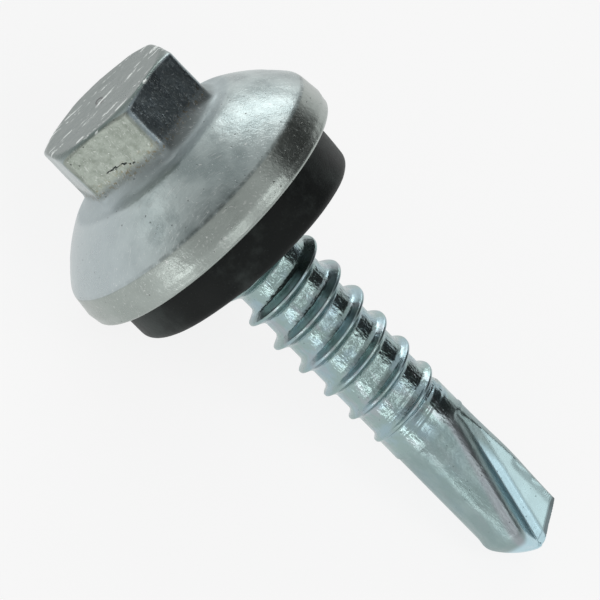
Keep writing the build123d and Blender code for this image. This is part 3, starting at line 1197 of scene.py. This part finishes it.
def new_group(name: str, inputs: dict[str, float], outputs: dict[str, str]
              ) -> tuple[bpy.types.NodeTree, list[Value], Callable[..., None]]:
    """Starts a shader node group.

    Args:
        name: The group's name.
        inputs: Name and default of each number that it takes after the place. With none it takes no place.
        outputs: Name and socket type of each output.

    Returns:
        The group, what it is given, and what to call with the values that it gives.
    """
    tree = bpy.data.node_groups.new(name, "ShaderNodeTree")
    if inputs:
        tree.interface.new_socket("Place", in_out="INPUT", socket_type="NodeSocketVector")
    for label, default in inputs.items():
        socket = tree.interface.new_socket(label, in_out="INPUT", socket_type="NodeSocketFloat")
        socket.default_value = default
    for label, kind in outputs.items():
        tree.interface.new_socket(label, in_out="OUTPUT", socket_type="NodeSocket" + kind)
    wire = Wiring(tree)
    end = tree.nodes.new("NodeGroupOutput")

    def give(*values: Value) -> None:
        """Joins the values to the group's outputs."""
        for value, socket in zip(values, end.inputs):
            wire.feed(socket, value)

    return tree, [Value(wire, output) for output in tree.nodes.new("NodeGroupInput").outputs], give


class SharedEffects:
    """Node groups that the finishes use."""

    def __init__(self, frame: RestingFrame) -> None:
        """Builds the groups once, for a screw that lies in this frame.

        Args:
            frame: Where the screw lies.
        """
        self.axes = self.build_axes(frame)
        self.scratches = self.build_scratches()
        self.pits = self.build_pits()
        self.crack = self.build_crack(CastZinc.crack)

    def build_axes(self, frame: RestingFrame) -> bpy.types.NodeTree:
        """The screw's own axes in millimetres: place, distance out, height along and direction round.

        Args:
            frame: Where the screw lies.

        Returns:
            The group.
        """
        outputs = {"Place": "Vector", "Out": "Float", "Along": "Float", "Round": "Float"}
        tree, _, give = new_group("screw_axes", {}, outputs)
        wire = Wiring(tree)
        inverse = frame.matrix.inverted()
        coordinates = wire.add("TexCoord")[ON_OBJECT]
        x, y, z = (
            coordinates.vector("DOT_PRODUCT", tuple(row)) * (1 / MM) + shift / MM
            for row, shift in zip(inverse.to_3x3(), inverse.translation)
        )
        flat, place = (wire.add("CombineXYZ", {0: x, 1: y, 2: height})[0] for height in (0.0, z))
        give(place, flat.vector("LENGTH"), z, y.math("ARCTAN2", x))
        return tree

    def build_scratches(self) -> bpy.types.NodeTree:
        """Fine short scratches in three directions.

        Returns:
            The group.
        """
        tree, (place, density, amount, _), give = new_group(
            "fine_scratches", {"Density": 1.0, "Amount": 0.5}, {"Mask": "Float"})
        total: Any = 0.0
        for turn, scale in (
            ((0.3, 0.9, 0.4), (26.0, 1.3, 3.0)),
            ((1.2, 0.2, 1.9), (34.0, 1.3, 4.0)),
            ((2.2, 1.4, 0.8), (30.0, 1.3, 5.0)),
        ):
            spread = place.stretch(scale, turn).vector("MULTIPLY", density)
            total = total + spread.noise(1.0, detail=1.0).window(0.66, 0.76)
        give(total.math("MULTIPLY", amount, clamp=True))
        return tree

    def build_pits(self) -> bpy.types.NodeTree:
        """Small scattered pits and specks.

        Returns:
            The group.
        """
        tree, (place, density, size, _), give = new_group(
            "scattered_pits", {"Density": 2.0, "Size": 0.2}, {"Mask": "Float"})
        cells = {"Vector": place, "Scale": density, "Randomness": 1.0}
        distance, colour, *_ = place.wire.add("TexVoronoi", cells)
        chosen = place.wire.add("SeparateColor", {0: colour})[0]
        give((size - distance).window(0.0, 0.1) * chosen.window(0.55, 0.6))
        return tree

    def build_crack(self, corners: Sequence[Place]) -> bpy.types.NodeTree:
        """A thin ragged line through some corners.

        Args:
            corners: The line's corners, in millimetres.

        Returns:
            The group.
        """
        tree, (place, width, _), give = new_group("ragged_crack", {"Width": 0.05}, {"Mask": "Float"})
        half = (0.5, 0.5, 0.5)
        drift = place.wire.add("TexNoise", {"Vector": place, "Scale": 3.0, "Detail": 3.0})[1]
        ragged = drift.vector("SUBTRACT", half).vector("MULTIPLY_ADD", half, place)
        nearest: Any = FAR
        for first, second in zip(corners, corners[1:]):
            run = Vector(second) - Vector(first)
            step = ragged.vector("SUBTRACT", first)
            share = step.vector("DOT_PRODUCT", tuple(run / run.length_squared))
            foot = share.math("MULTIPLY", 1.0, clamp=True).vector("MULTIPLY", tuple(run))
            nearest = step.vector("DISTANCE", foot).math("MINIMUM", nearest)
        give(nearest.math("DIVIDE", width).until(0.5, 1.3))
        return tree


@dataclass(frozen=True)
class Finish:
    """What every finish of the screw has.

    Bands are heights along the screw's axis or distances from it, between which a mask comes or goes.

    Attributes:
        effects: The shared node groups.
        slot: The record's material slot.
        relief_depth: Height of the relief where its value is 1, in millimetres.
        fixed: Values of the shader that are the same all over.
    """

    effects: SharedEffects
    slot: Slot
    relief_depth: float = 0.02
    fixed: tuple[tuple[str, float], ...] = (("Metallic", 1.0),)

    def dress(self, piece: bpy.types.Object) -> None:
        """Gives a piece this finish and names its slot.

        Args:
            piece: The piece to dress.
        """
        material = bpy.data.materials.new(self.slot.value)
        material.use_nodes = True
        wire, shader = Wiring(material.node_tree), material.node_tree.nodes["Principled BSDF"]
        axes = wire.add("Group", node_tree=self.effects.axes)
        colour, roughness, relief = self.surface(wire, axes)
        bump = wire.add("Bump", {"Strength": 1.0, "Distance": self.relief_depth * MM, "Height": relief})[0]
        given = {"Base Color": colour, "Roughness": roughness, "Normal": bump, **dict(self.fixed)}
        for name, value in given.items():
            wire.feed(shader.inputs[name], value)
        piece.data.materials.append(material)

    def surface(self, wire: Wiring, axes: Sequence[Value]) -> tuple[Value, Value, Value]:
        """Draws the finish.

        Args:
            wire: Adds the nodes.
            axes: Place in the screw's own axes, distance out, height along and direction round in radians.

        Returns:
            Colour, roughness and relief.
        """
        raise NotImplementedError


@dataclass(frozen=True)
class CastZinc(Finish):
    """Die-cast zinc alloy: bright grey metal, stained and scuffed on the hexagon."""

    slot: Slot = Slot.CAST_ZINC
    relief_depth: float = 0.022
    base: Colour = (0.43, 0.495, 0.49)
    dull: Colour = (0.285, 0.34, 0.34)
    # Painted light: the brighter colour of the cove and of one side of the flange.
    bright: Colour = (0.48, 0.54, 0.555)
    # Painted shade: the dark colour of the hexagon's top.
    top: Colour = (0.13, 0.165, 0.155)
    stroke: Colour = (0.74, 0.78, 0.76)
    front: Colour = (0.33, 0.365, 0.325)
    stained: Colour = (0.23, 0.26, 0.225)
    # Painted shade: the darker, bluer colour of one face of the hexagon.
    face_shade: Colour = (0.23, 0.285, 0.315)
    white: Colour = (0.80, 0.82, 0.80)
    brown: Colour = (0.22, 0.17, 0.08)
    # Painted shade: the darker, warmer colour of the skirt below the crease.
    skirt_shade: Colour = (0.35, 0.385, 0.355)
    # Dark colour of the broken line along the crease, and of the painted shade in the fillet.
    dark_line_and_fillet_shade: Colour = (0.10, 0.115, 0.105)
    # Near black: pits, specks and the crack, and the painted shade in the fillet beside the shaded face.
    near_black: Colour = (0.03, 0.035, 0.035)
    front_face: float = 25.5
    # Direction of the hexagon face with painted shade, in degrees; the fillet is painted darkest on that side
    # too.
    shaded_face: float = -34.5
    flat_from: Band = (3.76, 3.85)
    hexagon_until: Band = (-5.3, -4.95)
    top_until: Band = (-8.06, -7.9)
    foot_from: Band = (-6.3, -5.3)
    cove_from: Band = (-5.7, -5.2)
    cove_within: Band = (5.0, 5.4)
    fillet_within: Band = (4.25, 4.6)
    crease_height: float = -1.95
    crease_width: Band = (0.03, 0.13)
    skirt_from: Band = (-1.92, -1.85)
    crack: tuple[Place, ...] = ((3.82, 1.06, -5.47), (3.58, 1.55, -5.97), (3.11, 2.54, -6.01))
    top_pit: Place = (-0.31, 0.15, 0.0)
    top_pit_scale: Place = (1.9, 4.2, 0.0)

    def on_face(self, place: Value, towards: float) -> Value:
        """1 on one flat side of the hexagon and 0 elsewhere."""
        turn = math.radians(towards)
        return place.vector("DOT_PRODUCT", (math.cos(turn), math.sin(turn), 0.0)).window(*self.flat_from)

    def dark_marks(self, place: Value) -> Value:
        """Pits, the crack on the front and the rim of the long pit in the middle of the top.

        Args:
            place: Place in the screw's own axes.

        Returns:
            A mask.
        """
        pits = 0.6 * place.marked(self.effects.pits, density=2.1, size=0.13)
        specks = 0.35 * place.marked(self.effects.pits, density=4.6, size=0.11)
        crack = place.marked(self.effects.crack, width=0.05)
        far = place.vector("SUBTRACT", self.top_pit).vector("MULTIPLY", self.top_pit_scale).vector("LENGTH")
        return pits | specks | crack | far.until(0.95, 1.25) * far.window(0.45, 0.8)

    def strokes(self, place: Value, mottle: Value) -> Value:
        """Short pale strokes in rows.

        Args:
            place: Place in the screw's own axes.
            mottle: The casting's mottling, from 0 to 1.

        Returns:
            A mask.
        """
        short = place.stretch((2.5, 0.95, 1.0), (0.0, 0.0, 0.2)).noise(1.0, detail=2.5, distortion=0.5)
        rows = (2.3 * place.parts()[0] + 0.6).math("SINE")
        return short.window(0.565, 0.60) * mottle.window(0.4, 0.5) * rows.window(-0.5, 0.2)

    def scuffs(self, place: Value, face_shade: Value) -> Value:
        """Fine bright scratches, nicks and flecks.

        Args:
            place: Place in the screw's own axes.
            face_shade: 1 on the hexagon face with painted shade.

        Returns:
            A mask.
        """
        scratches = place.marked(self.effects.scratches, density=0.9, amount=0.25)
        flecks = place.noise(7.0, detail=2.0, distortion=0.8).window(0.68, 0.73)
        nicks = place.noise(5.0, distortion=1.4).window(0.6, 0.68)
        return scratches | 0.3 * nicks * face_shade | 0.6 * flecks

    def surface(self, wire: Wiring, axes: Sequence[Value]) -> tuple[Value, Value, Value]:
        """Draws the casting's finish: stained metal with painted shade and painted light first, then the
        marks on it.

        Args:
            wire: Adds the nodes.
            axes: The screw's own axes, as in Finish.

        Returns:
            Colour, roughness and relief.
        """
        place, out, along, towards = axes
        cloud = place.noise(0.5, detail=4.0)
        mottle = place.noise(2.4, detail=4.0, roughness=0.62)
        grain = place.noise(9.0, roughness=0.6)
        hexagon, top = along.until(*self.hexagon_until), along.until(*self.top_until)
        front = self.on_face(place, self.front_face) * hexagon
        face_shade = self.on_face(place, self.shaded_face) * hexagon
        skirt = along.window(*self.skirt_from)
        crease_line = (along - self.crease_height).math("ABSOLUTE").until(*self.crease_width)
        cove = along.window(*self.cove_from) * out.until(*self.cove_within)
        fillet = cove * out.until(*self.fillet_within)
        shaded = (towards + math.radians(-self.shaded_face)).math("COSINE").window(0.72, 0.9)
        lit_flange_side = towards.math("SINE").window(0.3, 0.85) * (1.0 - (skirt | hexagon))
        speckle = place.noise(5.5, roughness=0.7).window(0.53, 0.64) * along.window(*self.foot_from) * hexagon
        dark = self.dark_marks(place)
        strokes = self.strokes(place, mottle) * top
        scuffs = self.scuffs(place, face_shade) * (1.0 - 0.6 * top)
        colour = wire.paint(
            self.dull,
            (cloud.window(0.35, 0.65), self.base),
            (front, wire.paint(self.front, (mottle.window(0.32, 0.72), self.stained))),
            # painted shade: one face of the hexagon is painted darker and bluer, varied by the mottling, for
            # the dark room that it faces
            (face_shade * (0.9 - 0.3 * mottle.window(0.4, 0.66)), self.face_shade),
            # painted shade: the hexagon's top is painted dark, for the shaded floor that it reflects
            (0.93 * top, self.top),
            # painted shade: the skirt below the crease is painted darker and warmer, for the dimmer light it
            # catches
            (0.75 * skirt, self.skirt_shade),
            # a dark, broken line along the crease
            (0.55 * crease_line * mottle.window(0.3, 0.6), self.dark_line_and_fillet_shade),
            # painted light: the cove is painted brighter, to lift the shade that gathers in it
            (0.6 * cove, self.bright),
            # painted shade: the fillet at the hexagon's foot is painted darker, and darkest beside the shaded
            # face
            (0.35 * fillet, self.dark_line_and_fillet_shade),
            (0.5 * fillet * shaded, self.near_black),
            # painted light: one side of the flange, off the skirt and hexagon, is painted brighter
            (0.8 * lit_flange_side, self.bright),
            (0.7 * speckle, self.brown),
            (dark, self.near_black),
            (scuffs, self.white),
            (strokes, self.stroke),
        )
        rough = 0.20 + 0.12 * cloud + 0.12 * front + 0.25 * cove + 0.2 * strokes + 0.06 * grain
        relief = 0.3 * grain - 1.2 * dark + 0.35 * (scuffs | strokes) + 0.6 * mottle + 2.4 * cloud
        return colour, rough, relief


@dataclass(frozen=True)
class SealRubber(Finish):
    """Black rubber, lightly dusted, and paler at the ring's two ends, from dusting and a painted sheen."""

    slot: Slot = Slot.SEAL_RUBBER
    relief_depth: float = 0.012
    fixed: tuple[tuple[str, float], ...] = (("Specular IOR Level", 0.17),)
    base: Colour = (0.0055, 0.0075, 0.007)
    # Grey of the dusting, and of the painted sheen at the ring's two ends.
    dust_and_sheen: Colour = (0.05, 0.06, 0.057)

    def surface(self, wire: Wiring, axes: Sequence[Value]) -> tuple[Value, Value, Value]:
        """Draws the seal's finish.

        Args:
            wire: Adds the nodes.
            axes: The screw's own axes, as in Finish.

        Returns:
            Colour, roughness and relief.
        """
        place, _, _, towards = axes
        cloud = place.noise(0.5, detail=5.0, roughness=0.65)
        ends = towards.math("SINE").math("ABSOLUTE").window(0.6, 0.98)
        specks = place.noise(9.0, detail=2.0).window(0.66, 0.74)
        # the ring's two ends are painted paler: dusting, and a painted sheen
        masks = (0.6 * cloud.window(0.52, 0.8), 0.4 * specks, ends * cloud.window(0.3, 0.65))
        colour = wire.paint(self.base, *((mask, self.dust_and_sheen) for mask in masks))
        return colour, 0.38 + 0.3 * cloud, place.noise(7.0)


@dataclass(frozen=True)
class PlatedSteel(Finish):
    """Bright zinc plating: grey-green, with a faint play of colours, and rough between the threads."""

    slot: Slot = Slot.PLATED_STEEL
    relief_depth: float = 0.09
    base: Colour = (0.31, 0.415, 0.405)
    blue: Colour = (0.33, 0.45, 0.49)
    violet: Colour = (0.38, 0.41, 0.44)
    flute: Colour = (0.52, 0.74, 0.82)
    ground: Colour = (0.36, 0.485, 0.50)
    lip: Colour = (0.09, 0.115, 0.12)
    forged: Colour = (0.25, 0.338, 0.338)
    rosy: Colour = (0.38, 0.35, 0.40)
    burnished: Colour = (0.46, 0.57, 0.57)
    near_black: Colour = (0.03, 0.045, 0.05)
    forged_from: Band = (15.4, 16.4)
    thread_until: Band = (14.6, 15.6)
    root_within: Band = (2.09, 2.22)
    crest_from: Band = (2.2, 2.35)
    sunken_within: Band = (1.5, 1.9)
    body_from: Band = (1.9, 2.1)
    rings_from: Band = (13.4, 13.8)
    rings_until: Band = (15.0, 15.5)
    rings_within: Band = (2.2, 2.28)
    ring_pitch: float = 0.4
    heel_from: float = 16.2
    heel_start: float = -31.0
    heel_turn_per_mm: float = 7.2
    face_from: Band = (17.0, 17.5)
    bevel_from: Band = (23.45, 23.7)
    face_at: float = 24.3
    face_offset: float = 0.38
    run_out: float = 0.087
    drift: float = 0.21
    floor_width: float = 0.55

    def cutting_edge(self, place: Value) -> tuple[Value, Value]:
        """1 on the two cutting faces, and 1 on the bevels behind their edges.

        Args:
            place: Place in the screw's own axes.

        Returns:
            Two masks.
        """
        x, y, z = place.parts()
        below = z - self.face_at
        ahead = self.run_out * below - self.face_offset - x * y.math("SIGN")
        aside = (self.drift * below + y.math("ABSOLUTE")).window(self.floor_width, self.floor_width + 0.1)
        face = ahead.window(-0.05, -0.02) * aside * z.window(*self.face_from)
        behind = ahead.window(-0.42, -0.36) * ahead.until(-0.04, -0.01)
        return face, behind * aside * z.window(*self.bevel_from)

    def on_heel(self, along: Value, towards: Value) -> Value:
        """1 along the edge between the flute's back wall and the body."""
        heel = (along - self.heel_from) * math.radians(self.heel_turn_per_mm) + math.radians(self.heel_start)
        return (towards - heel).math("ABSOLUTE").until(0.05, 0.2)

    def rings(self, out: Value, along: Value, towards: Value) -> Value:
        """Low rings where the thread runs out.

        Args:
            out: Distance from the axis.
            along: Height along the axis.
            towards: Direction round the axis, in radians.

        Returns:
            Height of the rings, from -1 to 1.
        """
        waves = ((along - 0.29 * towards) * (2 * math.pi / self.ring_pitch)).math("SINE")
        span = along.window(*self.rings_from) * along.until(*self.rings_until)
        return waves * span * out.until(*self.rings_within)

    def surface(self, wire: Wiring, axes: Sequence[Value]) -> tuple[Value, Value, Value]:
        """Draws the steel's finish.

        Args:
            wire: Adds the nodes.
            axes: The screw's own axes, as in Finish.

        Returns:
            Colour, roughness and relief.
        """
        place, out, along, towards = axes
        cloud = place.noise(0.8)
        hue = place.stretch((1.4, 1.4, 0.5)).noise(1.0, detail=2.0, distortion=0.3)
        coarse = place.stretch((3.6, 3.6, 1.3)).noise(1.0, roughness=0.6) + place.noise(3.0, roughness=0.6)
        pits = place.marked(self.effects.pits, density=3.2, size=0.12)
        forged = 0.75 * along.window(*self.forged_from)
        face, bevel = self.cutting_edge(place)
        patches = place.stretch((1.1, 1.1, 0.6)).noise(1.5, detail=4.0).window(0.38, 0.68)
        patches = patches * forged * out.window(*self.body_from) * (1.0 - face)
        sunken = out.until(*self.sunken_within)
        root = out.until(*self.root_within) * along.until(*self.thread_until)
        colour = wire.paint(
            self.base,
            (cloud.window(0.42, 0.66), self.blue),
            (0.6 * hue.window(0.5, 0.7), self.violet),
            (forged, self.forged),
            (0.6 * self.on_heel(along, towards) * forged, self.rosy),
            (0.3 * patches, self.burnished),
            (0.8 * sunken, self.flute),
            (0.9 * face, self.ground),
            (0.85 * bevel, self.lip),
            (0.5 * pits, self.near_black),
        )
        cut = sunken | face
        rough = 0.12 + 0.14 * cloud + 0.25 * forged + 0.1 * out.window(*self.crest_from) - 0.1 * cut
        coarse = coarse * (0.20 - 0.15 * cut + 0.28 * root)
        relief = coarse - 0.25 * pits + 0.22 * patches + 0.14 * self.rings(out, along, towards)
        return colour, rough, relief


# ---------------------------------------------------------------- studio


def direction(azimuth: float, elevation: float) -> Vector:
    """The direction of an azimuth from the front, positive to the right, and an elevation."""
    turn, rise = math.radians(azimuth), math.radians(elevation)
    return Vector((math.sin(turn) * math.cos(rise), -math.cos(turn) * math.cos(rise), math.sin(rise)))


@dataclass(frozen=True)
class Softbox:
    """One flat lamp that faces the screw.

    Attributes:
        name: The lamp's name.
        azimuth: Where it stands, in degrees from the front, positive to the right.
        elevation: How high it stands, in degrees.
        width: Its width in metres.
        height: Its height in metres.
        radiance: How bright its face is, where 1 is white.
        distance: How far it stands from the screw, in metres.
    """

    name: str
    azimuth: float
    elevation: float
    width: float
    height: float
    radiance: float
    distance: float = 0.7

    def build(self) -> bpy.types.Object:
        """Places the lamp.

        Returns:
            The lamp.
        """
        data = bpy.data.lights.new(self.name, "AREA")
        data.shape = "RECTANGLE"
        data.size, data.size_y = self.width, self.height
        data.energy = self.radiance * math.pi * self.width * self.height
        lamp = bpy.data.objects.new(self.name, data)
        towards = direction(self.azimuth, self.elevation)
        lamp.location = towards * self.distance
        lamp.rotation_euler = towards.to_track_quat("Z", "Y").to_euler()
        lamp.visible_camera = False
        bpy.context.scene.collection.objects.link(lamp)
        return lamp


@dataclass(frozen=True)
class DarkPatch:
    """A darker part of the room.

    Attributes:
        azimuth: Where its middle is, in degrees from the front, positive to the right.
        elevation: How high its middle is, in degrees.
        outside: Cosine of the angle from its middle at which it begins.
        inside: Cosine of the angle from its middle at which it is full.
        depth: The share of the light that it takes.
    """

    azimuth: float
    elevation: float
    outside: float
    inside: float
    depth: float


@dataclass(frozen=True)
class Studio:
    """Floor, room light, lamps and camera, a long lens rolled so that the screw lies on the diagonal."""

    floor_reach: float = 100.0
    floor_drop: float = 0.00002
    floor_share: float = 0.84
    paper: Colour = (0.95, 0.95, 0.95)
    room: float = 0.66
    overhead: float = 0.06
    overhead_from: Band = (0.6, 0.95)
    horizon: float = 0.93
    horizon_until: Band = (0.03, 0.08)
    dark_patches: tuple[DarkPatch, ...] = (
        DarkPatch(155, 33, 0.80, 0.93, 0.95),
        DarkPatch(-45, 50, 0.80, 0.96, 0.45),
    )
    softboxes: tuple[Softbox, ...] = (
        Softbox("strip", 102, 50, 0.21, 0.26, 1.6),
        Softbox("flute_light", 53, 38, 0.24, 0.24, 1.15),
        Softbox("front_low", 16, 3.2, 0.36, 0.12, 3.2),
        Softbox("head_side", -142, 11, 0.40, 0.26, 2.5),
        Softbox("left_low", -74, 3, 0.30, 0.07, 1.2),
    )
    lens: float = 349.2
    camera_place: Place = (-17.77827628, -159.27419221, 255.57682749)
    camera_back: Place = (-0.05536126, -0.53708989, 0.84170635)
    camera_roll: float = -41.8706

    def build_floor(self) -> None:
        """A plain pale floor that shows the screw's shadow."""
        mesh = bpy.data.meshes.new("studio_floor")
        reach = self.floor_reach
        corners = [(-reach, -reach, 0), (reach, -reach, 0), (reach, reach, 0), (-reach, reach, 0)]
        mesh.from_pydata(corners, [], [(0, 1, 2, 3)])
        floor = bpy.data.objects.new("studio_floor", mesh)
        floor.location.z = -self.floor_drop
        bpy.context.scene.collection.objects.link(floor)
        material = bpy.data.materials.new("studio_floor")
        material.use_nodes = True
        wire = Wiring(material.node_tree)
        material.node_tree.nodes.clear()
        rays = wire.add("LightPath")
        seen = rays[CAMERA_RAY] | rays[GLOSSY_RAY] | rays[TRANSMISSION_RAY]
        paper = wire.add("BsdfDiffuse", {"Color": self.paper})[0]
        white = wire.add("Emission", {"Color": (1.0, 1.0, 1.0), "Strength": 1.0})[0]
        blended = wire.add("MixShader", {0: seen * self.floor_share, 1: paper, 2: white})[0]
        wire.add("OutputMaterial", {0: blended})
        mesh.materials.append(material)

    def build_room(self) -> None:
        """The light of the room: even, with two darker patches, and as pale as the floor where they meet."""
        world = bpy.data.worlds.new("studio_room")
        bpy.context.scene.world = world
        world.use_nodes = True
        wire = Wiring(world.node_tree)
        world.node_tree.nodes.clear()
        towards = wire.add("TexCoord")[AROUND]
        height = towards.parts()[2]
        shade = self.room - self.overhead * height.window(*self.overhead_from)
        for patch in self.dark_patches:
            middle = tuple(direction(patch.azimuth, patch.elevation))
            dark = towards.vector("DOT_PRODUCT", middle).window(patch.outside, patch.inside)
            shade = shade * (1.0 - patch.depth * dark)
        shade = shade + (self.horizon - shade) * height.until(*self.horizon_until)
        wire.add("OutputWorld", {0: wire.add("Background", {"Color": shade, "Strength": 1.0})[0]})

    def build_camera(self) -> None:
        """The camera, placed by the direction behind it and its roll."""
        data = bpy.data.cameras.new("camera")
        data.lens = self.lens
        data.sensor_width = 36.0
        data.clip_start, data.clip_end = 0.01, 1000.0
        camera = bpy.data.objects.new("camera", data)
        bpy.context.scene.collection.objects.link(camera)
        back = Vector(self.camera_back).normalized()
        level_right = Vector((0, 0, 1)).cross(back).normalized()
        level_up = back.cross(level_right)
        roll = math.radians(self.camera_roll)
        up = level_up * math.cos(roll) + level_right * math.sin(roll)
        matrix = Matrix((up.cross(back), up, back)).transposed().to_4x4()
        matrix.translation = Vector(self.camera_place) * MM
        camera.matrix_world = matrix
        bpy.context.scene.camera = camera

    def build(self) -> None:
        """Sets up everything round the screw."""
        self.build_floor()
        self.build_room()
        for softbox in self.softboxes:
            softbox.build()
        self.build_camera()
        bpy.context.scene.view_settings.view_transform = "Standard"


def main() -> None:
    """Builds the screw's pieces round the frame and dresses them."""
    logging.basicConfig(level=logging.INFO, format="%(name)s: %(message)s")
    frame_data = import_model()
    head = CastHead()
    resting = RestingFrame.from_record(frame_data["record"], head.hex_top)
    effects = SharedEffects(resting)
    pieces: list[tuple[Callable[[RestingFrame], bpy.types.Object], Finish, str]] = [
        (head.build, CastZinc(effects=effects), "cast_head"),
        (SealingRing().build, SealRubber(effects=effects), "sealing_washer"),
        (SteelScrew().build, PlatedSteel(effects=effects), "steel_screw"),
    ]
    for build, finish, node in pieces:
        piece = build(resting)
        finish.dress(piece)
        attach(piece, BODY)
        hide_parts(node)
    Studio().build()


if __name__ == "__main__":
    main()
